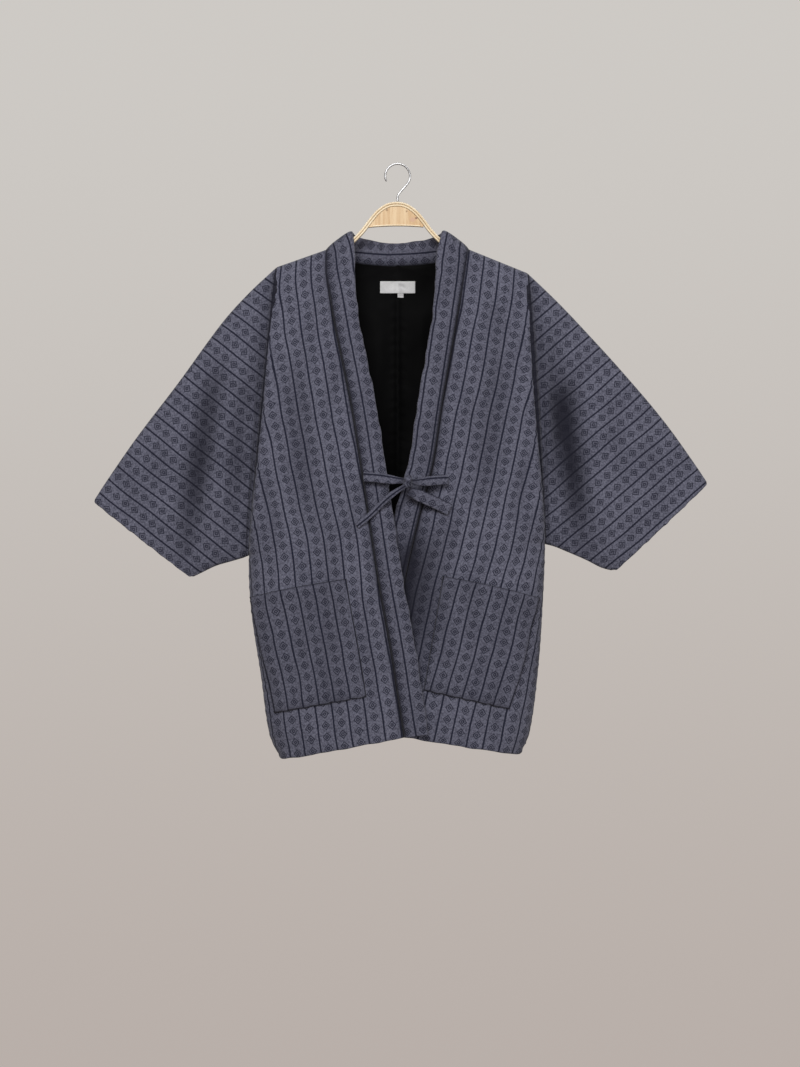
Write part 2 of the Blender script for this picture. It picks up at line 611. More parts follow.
# A wall between two grids of points, closed at its rims; wrapped joins the last column to the first.
def shell(name, outer, inner, uv, materials, wrapped=False, innerSlot=1, shade=None):
    rows, columns = outer.shape[:2]
    points = np.concatenate([outer.reshape(-1, 3), inner.reshape(-1, 3)])
    index = np.arange(2 * rows * columns).reshape(2, rows, columns)
    faces, slots = [], []
    right = np.roll(index, -1, axis=2)
    span = slice(None) if wrapped else slice(0, columns - 1)
    for layer, slot in ((0, 0), (1, innerSlot)):
        a, b = index[layer, :-1, span], right[layer, :-1, span]
        c, d = right[layer, 1:, span], index[layer, 1:, span]
        quads = np.stack([a, b, c, d] if layer == 0 else [a, d, c, b], -1).reshape(-1, 4)
        faces += quads.tolist()
        slots += [slot] * len(quads)
    rims = [(index[0, 0, span], right[0, 0, span], index[1, 0, span], right[1, 0, span], True),
            (index[0, -1, span], right[0, -1, span], index[1, -1, span], right[1, -1, span], False)]
    if not wrapped:
        rims += [(index[0, :-1, 0], index[0, 1:, 0], index[1, :-1, 0], index[1, 1:, 0], False),
                 (index[0, :-1, -1], index[0, 1:, -1], index[1, :-1, -1], index[1, 1:, -1], True)]
    for a, b, c, d, flip in rims:
        quads = np.stack([a, c, d, b] if flip else [a, b, d, c], -1).reshape(-1, 4)
        faces += quads.tolist()
        slots += [0] * len(quads)
    both = None if shade is None else np.concatenate([shade, shade])
    return makeMesh(name, points, faces, np.concatenate([uv, uv]).reshape(-1, 2), slots, materials, both)


def register(piece, *nodes, slot="hanten_cloth"):
    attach(piece, "root")
    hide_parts(*nodes)
    return piece


def makeBody(side, name, nodes):  # one length of cloth: front hem, over the shoulder, back hem
    wall, rows, drift = body["wall"], bodyRows[side], stripeDrift[side]
    neckSide = abs(rows["seamX"][0])
    fold = body["foldRadius"] * (1 - np.cos(np.linspace(0, math.pi / 2, 9)))[1:]
    drops = np.concatenate([fold, rimmed(fold[-1], body["length"], body["rowStep"])[5:]])
    acrosses = rimmed(0, body["gridWide"], body["columnStep"]) / body["gridWide"]
    drop, across = np.meshgrid(drops, acrosses, indexing="ij")
    edge = np.minimum(across * body["gridWide"], (1 - across) * body["gridWide"])
    rim = np.maximum(rounded(edge, 3.6), rounded(body["length"] - drop, 3.0)) * body["rimCut"]
    grids = []
    for face, downwards in (("front", 1), ("back", -1)):
        outer = bodyPoint(side, face, across, drop, rim)
        inner = bodyPoint(side, face, across, drop, wall - rim * 0.5)
        startX, startZ, edgeX, edgeZ = rowEnds(side, face, drop)
        width = np.hypot(edgeX - startX, edgeZ - startZ)
        # the cloth is longer than its row is wide where it turns in at the side
        turning = bodyPoint(side, face, across, drop, 0.0, folds=False)[..., 1]
        longer = np.hypot(np.diff(across * width), np.diff(turning)) - np.diff(across * width)
        longer = np.pad(np.cumsum(longer, axis=1), ((0, 0), (1, 0)))
        turn = np.searchsorted(acrosses, body["turnFrom"])
        longer = np.maximum(longer - longer[:, turn][:, None], 0)
        spread = (np.abs(outer[..., 0]) - neckSide) * body["backSpread"]
        u = across * width if face == "front" else spread
        shift = along(drift, "drop", "shift", drop) if face == "front" else drift["shift"][0]
        u = u - stripeStart[side] + shift + longer
        v = drop * downwards
        u = u + stripeWobble["body"] * wobble(v, side + across * 2)
        shade = bodyShade(side, face, outer[..., 0], outer[..., 2], across, drop, width)
        grids.append((outer, inner, np.stack([u, v], -1), shade))
    top = [bodyPoint(side, "front", acrosses, np.zeros_like(acrosses), inset) for inset in (0.0, wall)]
    for ridge in top:
        ridge[:, 1] = 0
    topU = acrosses * np.hypot(rows["edgeX"][0] - rows["seamX"][0], rows["edgeZ"][0] - rows["seamZ"][0])
    topU = topU - stripeStart[side] + drift["shift"][0]
    topU = topU + stripeWobble["body"] * wobble(0, side + acrosses * 2)
    topUv = np.stack([topU, np.zeros_like(topU)], -1)
    outer, inner, uv, shade = (np.concatenate([front[::-1], ridge[None], back]) for front, ridge, back in
                               zip(grids[0], (*top, topUv, grids[0][3][0]), grids[1]))
    piece = shell(name, outer, inner, uv, [hantenCloth, blackLining], shade=shade)
    return register(piece, *nodes)


print("body")
rightBody = makeBody(-1, "rightBody", ("right_front", "right_back"))
leftBody = makeBody(1, "leftBody", ("left_front", "left_back"))


# "start" is from the armhole to the first stripe along the top fold, with how much the pitch widens.
sleeve = {
    "long": 490.0, "seamDip": 7.0, "seamReach": 0.035, "cuffWave": 0.45, "wave": 0.6, "pucker": 0.7,
    "cuffCorner": 8.0, "cuffTurn": (0.62, 0.78), "start": {-1: (26.2, -0.0173), 1: (17.8, -0.0418)},
    "seamDark": (0.85, 3.2), "besideDark": (0.50, 42), "foldDark": 0.060, "creaseDark": 0.085,
}


def sleeveShade(side, face, x, z, reach, drop):
    shape = armholeDepth(drop) / body["armholeHalf"]
    fromSeam = reach * sleeve["long"]
    shade = shadow(fromSeam, sleeve["seamDark"]) + shadow(fromSeam, sleeve["besideDark"]) * shape
    shade = shade + sleeve["foldDark"] * sink(sleeveFolds, side, face, x, z) * shape
    creases = np.maximum(sink(sleeveCreases, side, face, x, z), 0)
    shade = shade + sleeve["creaseDark"] * creases * shape
    return np.clip(shade, 0, deepestShade)


def sleeveRing(side, reach, drop, face, inset):
    rows = sleeveRows[side]
    topX, topZ, lowX, lowZ = (along(rows, "reach", key, reach) for key in ("topX", "topZ", "lowX", "lowZ"))
    span = np.hypot(lowX - topX, lowZ - topZ)
    runX, runZ = (lowX - topX) / span, (lowZ - topZ) / span
    part = drop / body["armholeLength"]
    shape = armholeDepth(drop) / body["armholeHalf"]
    x = topX + (lowX - topX) * part + runX * inset * (1 - 2 * part)
    z = topZ + (lowZ - topZ) * part + runZ * inset * (1 - 2 * part)
    middle = shape * ease(reach / 0.15)
    fold = sink(sleeveFolds, side, face, x, z) * middle + sink(sleeveCreases, side, face, x, z) * middle
    wave = sleeve["wave"] * (np.sin(x / 17.0 + z / 23.0) + np.sin(x / 11.0 - z / 29.0 + side)) * middle
    fromSeam, fromCuff = reach * sleeve["long"], (1 - reach) * sleeve["long"]
    pucker = sleeve["pucker"] * ripple(drop, 5.0 + side, ((21, 1.0), (14, 0.8), (9, 0.5)))
    pucker = pucker * ease(drop / 90) * bell(fromSeam - 6, 9) * ease(fromSeam / 3) * shape
    dip = bell(reach - sleeve["seamReach"], 0.03) * ease(reach / 0.02)
    half = along(rows, "reach", "half", reach) - inset
    out = half * shape - fold + wave + pucker - sleeve["seamDip"] * shape * dip
    waves = ripple(drop + 60 * (face == "back"), side * 2.0, ((83, 1.0), (52, 0.6), (33, 0.35)))
    cuff = bell(fromCuff, 20) * sleeve["cuffWave"] * waves
    fromFold = np.minimum(drop, body["armholeLength"] - drop)
    cut = rounded(fromFold, sleeve["cuffCorner"]) * bell(fromCuff, 14)
    x = x + side * (cuff * shape - cut) * sleeve["cuffTurn"][0]
    z = z - (cuff * shape - cut) * sleeve["cuffTurn"][1]
    return np.stack(np.broadcast_arrays(x, -out if face == "front" else out, z), -1)


def makeSleeve(side, name, node):
    wall, end, long = body["wall"], body["armholeLength"], sleeve["long"]
    drops = end * (1 - np.cos(np.linspace(0, math.pi, 130))) / 2 * 0.35 + np.linspace(0, end, 130) * 0.65
    reaches = rimmed(0, long, 4.4)[1:] / long
    reach, drop = np.meshgrid(reaches, drops, indexing="ij")
    rim = np.maximum(rounded(reach * long, 2.6), rounded((1 - reach) * long, 3.0)) * body["rimCut"]
    rings = []
    for inset, seamInset in ((rim, 0.6), (wall - rim * 0.5, wall - 0.3)):
        halves = []
        for face in ("front", "back"):
            seam = bodyPoint(side, face, np.ones_like(drops), drops, seamInset, folds=False)
            ring = sleeveRing(side, reach, drop, face, inset)
            ring = np.concatenate([(seam + [side * body["seamGap"], 0, 0])[None], ring])
            ring[:, 0, 1] = ring[:, -1, 1] = 0
            halves.append(ring)
        rings.append(np.concatenate([halves[0], halves[1][:, -2:0:-1]], axis=1))
    rows = sleeveRows[side]
    foldX, foldZ = rows["topX"][-1] - rows["topX"][0], rows["topZ"][-1] - rows["topZ"][0]
    length = math.hypot(foldX, foldZ)
    foldX, foldZ = foldX / length, foldZ / length
    x, z = rings[0][..., 0], rings[0][..., 2]
    offX, offZ = x - rows["topX"][0], z - rows["topZ"][0]
    down = offX * foldZ * side - offZ * foldX * side
    run = offX * foldX + offZ * foldZ
    facing = np.where(np.arange(x.shape[1]) < len(drops), 1, -1)
    start, stretch = sleeve["start"][side]
    u = run - start - stretch * run + stripeWobble["sleeve"] * wobble(down * 0.8, side + run / 90)
    uv = np.stack([u, np.abs(down) * facing], -1)
    allReach = np.concatenate([[0], reaches])[:, None]
    allDrops = np.concatenate([drops, drops[-2:0:-1]])[None]
    front, back = (sleeveShade(side, face, x, z, allReach, allDrops) for face in ("front", "back"))
    piece = shell(name, rings[0], rings[1], uv, [hantenCloth, blackLining], wrapped=True,
                  shade=np.where(facing > 0, front, back))
    return register(piece, node)


print("sleeves")
rightSleeve = makeSleeve(-1, "rightSleeve", "right_sleeve")
leftSleeve = makeSleeve(1, "leftSleeve", "left_sleeve")


collar = {
    "thick": 12.0, "squareness": 3.0, "corners": 40, "edgeWave": 0.9, "step": 5.0, "neckTuck": 2.6,
    # from the seam to the first stripe, down the fronts and round the neck
    "phaseDrops": [0, 20, 50, 120, 200, 260], "neckPhase": [18, 20, 20.6, 20.6, 20],
    "frontPhase": {-1: [18, 19.5, 20.5, 21, 20, 19.3], 1: [20, 14, 11.5, 9.5, 7.5, 6.5]},
    # shades across the band, which runs from -1 at the seam to 1 at the free edge
    "seamDark": (0.74, 0.15), "besideDark": (0.24, 0.5), "allDark": 0.14, "gapDark": (0.46, 0.62),
    "lapDark": 0.60,
}


def collarStations():  # the seam and the reach of each ring, with its side, face and drop
    frontDrops = np.concatenate([np.linspace(0.5, 22, 9), np.arange(27, body["length"], collar["step"]),
                                 [body["length"]]])
    backDrops = np.array([1, 3, 6, 10, 15, 21, 28, 35, 42, 49, 55, 60, 63])
    routes = [(-1, "front", frontDrops[::-1]), (-1, "back", np.concatenate([[0], backDrops])),
              (1, "back", np.concatenate([[body["neckDrop"]], backDrops[::-1]])),
              (1, "front", np.concatenate([[0], frontDrops]))]
    seams, reaches, keys = [], [], []
    for side, face, drops in routes:
        inward, ahead, up = (along(bandRows[face], "drop", key, drops) for key in ("inward", "ahead", "up"))
        reach = np.stack([-side * inward, ahead, up], -1)
        seam = bodyPoint(side, face, np.zeros_like(drops, float), drops, body["wall"] / 2, folds=False)
        seam[drops == 0, 1] = 0
        if face == "back":
            seam[drops == body["neckDrop"], 0] = 0
        # the gap turns into a tuck near the neck
        near = (1 - ease(drops / 110) * (face == "front"))[:, None]
        gap = body["seamGap"] - (collar["neckTuck"] + body["seamGap"]) * near
        unit = reach / np.linalg.norm(reach, axis=1)[:, None]
        reaches.append(reach - (gap - body["seamGap"] - (body["neckGap"] - body["seamGap"]) * near) * unit)
        seams.append(seam + gap * unit)
        keys += [(side, face == "front", drop) for drop in drops]
    return np.concatenate(seams), np.concatenate(reaches), np.array(keys).T


def makeCollar():
    seams, reaches, (sides, fronts, drops) = collarStations()
    centres = seams + reaches / 2
    runs = runLengths(centres)
    thick = np.cross(np.gradient(centres, axis=0), reaches)
    thick = thick / np.linalg.norm(thick, axis=1)[:, None] * collar["thick"] / 2
    across, deep = roundedRing(collar["corners"], collar["squareness"])
    run = runs[:, None]
    wave = collar["edgeWave"] * ripple(run, 1.0, ((71, 0.6), (43, 0.5), (27, 0.3))) * np.clip(across, 0, 1)
    pucker = ripple(run, 7.0, ((17, 1.0), (11, 0.8), (7.5, 0.5))) * bell(across + 0.8, 0.25)
    fullness = 1 + 0.05 * ripple(run, 3.0, ((53, 1.0), (29, 0.7))) + 0.07 * pucker
    wide = np.linalg.norm(reaches, axis=1)[:, None]
    points = centres[:, None] + (reaches / wide)[:, None] * (across * wide / 2 + wave)[..., None]
    points = points + thick[:, None] * (deep * fullness)[..., None]
    # u runs from the seam over the outer face to the free edge, and back on the inner face
    flatU = np.where(deep > 0, (across + 1) / 2 * wide, 2 * wide - (across + 1) / 2 * wide)
    flatU = np.where(thick[:, 1:2] < 0, flatU, 2 * wide - flatU)
    right, left = (np.interp(drops, collar["phaseDrops"], collar["frontPhase"][side]) for side in (-1, 1))
    neck = runs[fronts == 0]
    part = np.clip((runs - neck.min()) / np.ptp(neck), 0, 1)
    neckPhase = np.interp(part, [0, 0.25, 0.5, 0.75, 1], collar["neckPhase"])
    phase = np.where(fronts == 0, neckPhase, np.where(sides > 0, left, right))
    uv = np.stack([flatU - phase[:, None], np.broadcast_to(run, flatU.shape)], -1)
    # the wearer's left band darkens beside the gap and goes under the other front
    lapped = (sides > 0) * fronts
    beside = (ease((drops - 425) / 50) * ease((640 - drops) / 90) * lapped)[:, None]
    under = (ease((drops - 470) / 60) * ease((835 - drops) / 40) * lapped)[:, None]
    shade = shadow(across + 1, collar["seamDark"]) + shadow(across + 1, collar["besideDark"])
    shade = shade + beside * shadow(1 - across, collar["gapDark"]) + collar["lapDark"] * under
    shade = shade + collar["allDark"]
    piece = tube("collarBand", points, uv, hantenCloth, np.clip(shade, 0, deepestShade))
    return register(piece, "collar")


print("collar")
collarBand = makeCollar()


# The corners run mouth inner, mouth outer, foot outer, foot inner, each as (across, drop).
pocket = {
    "thick": 3.5, "lift": 0.3, "mouthGape": 2.2, "mouthSag": 2.0, "tall": 193.0, "firstRow": 558.0,
    "pucker": 0.5, "footDark": (0.75, 1.5), "sideDark": (0.40, 1.3), "mouthDark": (0.82, 1.5),
    "aboveFoot": (0.16, 14), "worn": 0.13,
    "corners": {
        -1: [(0.234, 546.0), (0.978, 548.0), (0.92, 741.0), (0.228, 742.0)],
        1: [(0.259, 548.0), (0.954, 567.0), (0.823, 745.0), (0.256, 736.0)],
    },
    "wide": {-1: 162.0, 1: 156.0},
    # how wide the stripes see it, how much less at the foot, and where the first one is
    "stripes": {-1: (164.0, 0.0, 0.0), 1: (163.0, 17.0, 1.0)},
}


def pocketPoint(side, part, fall, inset):  # part is 0 at the inner side, and fall is 0 at the mouth
    corners = np.array(pocket["corners"][side])
    weights = [(1 - part) * (1 - fall), part * (1 - fall), part * fall, (1 - part) * fall]
    across = sum(w * corner for w, corner in zip(weights, corners[:, 0]))
    drop = sum(w * corner for w, corner in zip(weights, corners[:, 1]))
    fromMouth = fall * pocket["tall"]
    middle = ease(part / 0.25) * ease((1 - part) / 0.25)
    gape = pocket["mouthGape"] * bell(fromMouth, 24) * middle
    drop = drop - pocket["mouthSag"] * np.sin(math.pi * part) * bell(fromMouth, 30)
    pucker = pocket["pucker"] * ripple(part * 155, 6.0 + side, ((29, 1.0), (17, 0.7)))
    drop = drop + pucker * bell(pocket["tall"] - fromMouth, 9)
    return bodyPoint(side, "front", across, drop, inset - gape)


def makePocket(side, name, node):
    wide, tall = pocket["wide"][side], pocket["tall"]
    down, reach = np.meshgrid(rimmed(0, tall, 3.6), rimmed(0, wide, 3.2), indexing="ij")
    edge = np.minimum(np.minimum(reach, wide - reach), tall - down)
    rim = np.maximum(rounded(edge, 2.4), rounded(down, 2.0)) * 0.8
    outer = pocketPoint(side, reach / wide, down / tall, rim - pocket["lift"] - pocket["thick"])
    inner = pocketPoint(side, reach / wide, down / tall, -pocket["lift"])
    part = reach / wide
    wideU, taper, startU = pocket["stripes"][side]
    u = (part if side < 0 else 1 - part) * (wideU - taper * down / tall) - startU
    u = u + stripeWobble["body"] * wobble(down, side + reach / 60)
    sides = np.minimum(reach, wide - reach)
    shade = shadow(tall - down, pocket["footDark"]) + shadow(sides, pocket["sideDark"])
    shade = shade + shadow(down, pocket["mouthDark"]) + shadow(tall - down, pocket["aboveFoot"])
    shade = shade + pocket["worn"]
    shade = shade + bodyShade(side, "front", outer[..., 0], outer[..., 2], 0.5, 600.0, 200.0) * 0.8
    uv = np.stack([u, down + pocket["firstRow"]], -1)
    piece = shell(name, outer, inner, uv, [hantenCloth, hantenCloth], shade=np.clip(shade, 0, deepestShade))
    return register(piece, node)


print("pockets")
rightPocket = makePocket(-1, "rightPocket", "right_pocket")
leftPocket = makePocket(1, "leftPocket", "left_pocket")


lining = {"top": 64.0, "foot": 812.0, "outer": 0.975, "ease": 0.4, "thick": 1.5, "seam": 0.35,
          "folds": [(-26, -240, -40, -430, 12, 2.2), (-58, -300, -52, -520, 11, 1.8),
                    (42, -250, 30, -470, 12, 2.0), (64, -330, 70, -560, 13, 1.8),
                    (6, -380, 12, -560, 10, 1.6), (-96, -420, -104, -700, 16, 2.0),
                    (104, -460, 96, -720, 16, 2.0), (-30, -600, -22, -860, 14, 1.8),
                    (48, -640, 54, -880, 14, 1.8)]}


def liningPoint(side, across, drop, inset):
    flat = bodyPoint(side, "back", across, drop, body["wall"])
    x, z = flat[..., 0], flat[..., 2]
    own = sum(depth * trough(x, z, *line)[1] for *line, depth in lining["folds"])
    seam = lining["seam"] * bell(x, 1.6)
    return bodyPoint(side, "back", across, drop, body["wall"] + inset + own - seam * (inset > 1))


def makeLining():
    drops = rimmed(lining["top"], lining["foot"], 5.0)
    half = np.concatenate([[0, 0.004, 0.009, 0.016, 0.026], np.linspace(0.04, lining["outer"], 46)])
    near = lining["ease"]
    layers = []
    for inset in (near, near + lining["thick"]):
        sides = []
        for side in (-1, 1):
            drop, across = np.meshgrid(drops, half, indexing="ij")
            points = liningPoint(side, across, drop, inset)
            sides.append(points[:, :0:-1] if side < 0 else points)
        sides[1][:, 0, 0] = 0
        layers.append(np.concatenate(sides, axis=1))
    uv = layers[0][..., [0, 2]]
    piece = shell("backLining", layers[0], layers[1], uv, [blackLining], innerSlot=0)
    return register(piece, "back_lining", slot="lining_cloth")


labels = {"wide": 59.0, "top": -190.5, "tall": 20.0, "thick": 0.9, "gap": 0.45,
          "stitchIn": 1.6, "tabLeft": 0.0, "tabWide": 10.0, "tabTall": 7.0, "tabGap": 0.3}


def onBack(x, z, inset):  # puts points on the lining's face by sliding down its rows
    side = np.where(x < 0, -1, 1)
    found = np.zeros(x.shape + (3,))
    for one in (-1, 1):
        pick = side == one
        drop = np.full(pick.sum(), body["neckDrop"] + 30.0)
        for _ in range(8):
            edgeX = along(bodyRows[one], "drop", "edgeX", drop)
            point = liningPoint(one, np.clip(x[pick] / edgeX, 0, 1), drop, inset)
            drop = drop + point[:, 2] - z[pick]
        found[pick] = np.stack([x[pick], point[:, 1], z[pick]], -1)
    return found


def makeLabel(name, left, top, wide, tall):
    near = lining["ease"] + lining["thick"] + labels["gap"]
    widths = rimmed(left, left + wide, 1.6, (0, 0.15, 0.4, 0.8))
    heights = rimmed(top - tall, top, 1.4, (0, 0.15, 0.4, 0.8))[::-1]
    z, x = np.meshgrid(heights, widths, indexing="ij")
    fromEnd = np.minimum(x - left, left + wide - x)
    rim = rounded(np.minimum(fromEnd, np.minimum(top - z, z - top + tall)), 0.6) * 0.6
    turned = 0.25 * np.exp(-((fromEnd / 4.5) ** 4))
    outer = onBack(x, z, near)
    inner = onBack(x, z, near + labels["thick"])
    inner[..., 1] += rim - turned + 0.12 * np.sin(x / 4.0) * np.sin(z / 5.0)
    uv = np.stack([x, z], -1)
    return shell(name, outer, inner, uv, [labelTape], innerSlot=0)


print("lining and labels")
backLining = makeLining()
neckLabel = makeLabel("neckLabel", -labels["wide"] / 2, labels["top"], labels["wide"], labels["tall"])
register(neckLabel, "label", slot="label_cloth")
tabTop = labels["top"] - labels["tall"] - labels["tabGap"]
sizeTab = makeLabel("sizeTab", labels["tabLeft"], tabTop, labels["tabWide"], labels["tabTall"])
register(sizeTab, "size_tab", slot="label_cloth")


# Each strap's route through the bow; "stripe" and "row" place the pattern on it.
ties = {
    "thick": 2.6,
    "rightTieLoop": {
        "node": "right_tie_loop", "wide": 16.0, "across": (0, 0, 1), "stripe": 4.5, "row": 3.0,
        "x": [10, -10, -32, -49, -55, -49, -32, -10, 10],
        "y": [-78, -79.5, -78, -75.5, -72, -69.5, -69.3, -70.5, -73],
        "z": [-529, -527, -524, -522.5, -522, -522.5, -524, -527, -529],
    },
    "leftTieLoop": {
        "node": "left_tie_loop", "wide": 16.0, "across": (0, 0, 1), "stripe": 4.0, "row": 9.0,
        "x": [24, 42, 62, 77, 82, 76, 61, 42, 24],
        "y": [-78, -71, -63, -57, -53.5, -51, -54.5, -62, -72.5],
        "z": [-531, -530, -528, -527, -527, -527, -528, -530, -531],
    },
    "rightTieEnd": {
        "node": "right_tie_end", "wide": 10.0, "across": (-0.7, 0, 0.7), "stripe": -0.5, "row": 5.0,
        "x": [13, -6, -24, -44, -67], "y": [-83.1, -83, -77.5, -72.3, -69],
        "z": [-537, -549, -564, -584, -603],
    },
    "leftTieEnd": {
        "node": "left_tie_end", "wide": 20.0, "across": (0.4, 0, 0.9), "stripe": 10.0, "row": 2.0,
        "x": [18, 34, 55, 72, 86], "y": [-68.9, -68, -61, -56, -53.5],
        "z": [-545.5, -552, -561, -569, -576],
    },
}
knot = {"x": 17.0, "y": -76.0, "z": -530.0, "halfX": 6.5, "halfY": 5.5, "halfZ": 11.0,
        "lean": 1.2, "grooves": 0.07, "round": 2.6}


def smoothRoute(points, count):  # a smooth curve through a short list of points
    points = np.asarray(points, float)
    keys = np.concatenate([[0], np.cumsum(np.linalg.norm(np.diff(points, axis=0), axis=1) ** 0.5)])
    at = np.linspace(0, keys[-1], count)
    table = {"at": keys, "x": points[:, 0], "y": points[:, 1], "z": points[:, 2]}
    return np.stack([along(table, "at", axis, at) for axis in "xyz"], -1)


# A rounded bar along a route, with the half width and half thickness at each of its points.
def sweep(name, centres, wide, thick, squareness, corners, material, uvOf=None, shadeOf=None):
    across, deep = roundedRing(corners, squareness)
    points = centres[:, None] + wide[:, None] * across[:, None] + thick[:, None] * deep[:, None]
    run, side = (grid.copy() for grid in np.broadcast_arrays(runLengths(centres)[:, None], across))
    uv = uvOf(run, side) if uvOf else np.stack([run, side], -1)
    shade = np.clip(shadeOf(run, side), 0, deepestShade) if shadeOf else None
    return tube(name, points, uv, material, shade)


def makeTie(name):
    cut = ties[name]
    centres = smoothRoute(np.stack([cut["x"], cut["y"], cut["z"]], -1), 90)
    tangents = directions(centres)
    across = np.array(cut["across"], float)
    flat = across - tangents * (tangents @ across)[:, None]
    flat /= np.linalg.norm(flat, axis=1)[:, None]
    t = np.linspace(0, 1, len(centres))
    loop = "Loop" in name
    narrow = 0.62 + 0.38 * ease(np.minimum(t, 1 - t) / 0.2) if loop else 0.72 + 0.28 * ease(t / 0.3)
    end = np.sqrt(1 - np.clip((0.03 - np.minimum(t, 1 - t)) / 0.03, 0, 0.999) ** 2)
    full = 1 + 0.10 * np.sin(t * 23.0) + 0.07 * np.sin(t * 41.0 + 1)
    wide = flat * (cut["wide"] / 2 * narrow * (0.985 + 0.015 * np.sin(t * 31)))[:, None]
    thick = ties["thick"] / 2 * np.minimum(full, 1.1) * (0.35 + 0.65 * end)
    thick = np.cross(tangents, flat) * thick[:, None]

    def uvOf(run, side):
        return np.stack([side * cut["wide"] / 2 - cut["stripe"], run + cut["row"]], -1)

    def shadeOf(run, side):  # darker along the edges and where it goes into the knot
        fromKnot = np.minimum(run, run.max() - run) if loop else run
        return 0.06 + 0.34 * side ** 6 + 0.50 * bell(fromKnot, 12)

    piece = sweep(name, centres, wide, thick, 3.2, 20, hantenCloth, uvOf, shadeOf)
    flatSize = (cut["wide"] * mm, float(runLengths(centres)[-1]) * mm)
    return register(piece, cut["node"]), flatSize


def makeKnot():
    count = 26
    t = -np.cos(np.linspace(0.14, math.pi - 0.14, count))
    size = (1 - np.abs(t) ** knot["round"]) ** (1 / knot["round"])
    pinch = 1 - knot["grooves"] * (1 + np.cos(t * 9.0 + 0.6)) / 2
    x, y, z = knot["x"] + knot["lean"] * t, np.full(count, knot["y"]), knot["z"] + knot["halfZ"] * t
    wide = np.stack([knot["halfX"] * size * pinch, 0 * t, 0 * t], -1)
    deep = np.stack([0 * t, knot["halfY"] * size * pinch, 0 * t], -1)

    def uvOf(run, side):
        return np.stack([side * 6.5 + 9.0, run + 2.0], -1)

    def shadeOf(run, side):  # darker in the folds that the knot pulls up
        return 0.10 + 0.45 * (1 + np.cos(run * 0.62 + side * 1.3)) / 2 + 0.35 * side ** 4

    piece = sweep("tieKnot", np.stack([x, y, z], -1), wide, deep, 2.5, 28, hantenCloth, uvOf, shadeOf)
    return register(piece, "tie_knot")


print("bow")
tieKnot = makeKnot()
for name in ("rightTieLoop", "leftTieLoop", "rightTieEnd", "leftTieEnd"):
    tie, flat = makeTie(name)


hanger = {
    "archX": [0, 11, 21.5, 33, 44.2, 56.4, 72, 95, 117],
    "archZ": [-66, -67.2, -71.8, -81, -94.3, -110.4, -126.5, -144, -156],
    "archShift": -1.5, "seats": [150, 168, 184], "halfThick": 3.75, "halfDeep": 5.0, "seatGap": 0.5,
    "lean": 1.09, "lamellaGap": 0.5, "plateFoot": -105.0, "plateBow": 2.5, "plateHalfDeep": 4.0,
    "gap": 0.3, "footStrip": 2.2, "wire": 1.75, "hookInner": 19.0, "hookFoot": -61.5,
}


def ridgeHeight(side, width):  # the underside of the shoulder fold
    rows = bodyRows[side]
    seam = abs(rows["seamX"][0])
    part = (width - seam) / (abs(rows["edgeX"][0]) - body["wall"] - seam)
    return rows["seamZ"][0] + (rows["edgeZ"][0] - rows["seamZ"][0]) * part - body["wall"]


def hangerRoute(count):
    halves = {}
    under = hanger["seatGap"] + hanger["halfThick"] * hanger["lean"]
    for side in (-1, 1):
        x = [side * v + hanger["archShift"] for v in hanger["archX"]] + [side * v for v in hanger["seats"]]
        z = hanger["archZ"] + [ridgeHeight(side, v) - under for v in hanger["seats"]]
        halves[side] = list(zip(x, [0] * len(x), z))
    return smoothRoute(halves[-1][::-1] + halves[1][1:], count)


def makeRails():
    centres = hangerRoute(150)
    tangents = directions(centres)
    up = np.stack([-tangents[:, 2], 0 * tangents[:, 0], tangents[:, 0]], -1)
    half = hanger["halfThick"] - hanger["lamellaGap"] / 2
    deep = np.tile([0, hanger["halfDeep"], 0], (len(centres), 1))
    pieces = []
    for sign in (1, -1):
        middle = centres + up * sign * (half / 2 + hanger["lamellaGap"] / 2)
        pieces.append(sweep("rail", middle, deep, up * half / 2, 5.0, 20, palerWood))
    glue = up[1:-1] * hanger["lamellaGap"] * 0.7
    pieces.append(sweep("glueLine", centres[1:-1], deep[1:-1] * 0.86, glue, 4.0, 12, glueLine))
    return joined("hangerRails", pieces)


def joined(name, pieces):  # one object under one name
    with bpy.context.temp_override(active_object=pieces[0], selected_editable_objects=pieces):
        bpy.ops.object.join()
    pieces[0].name = name
    return pieces[0]


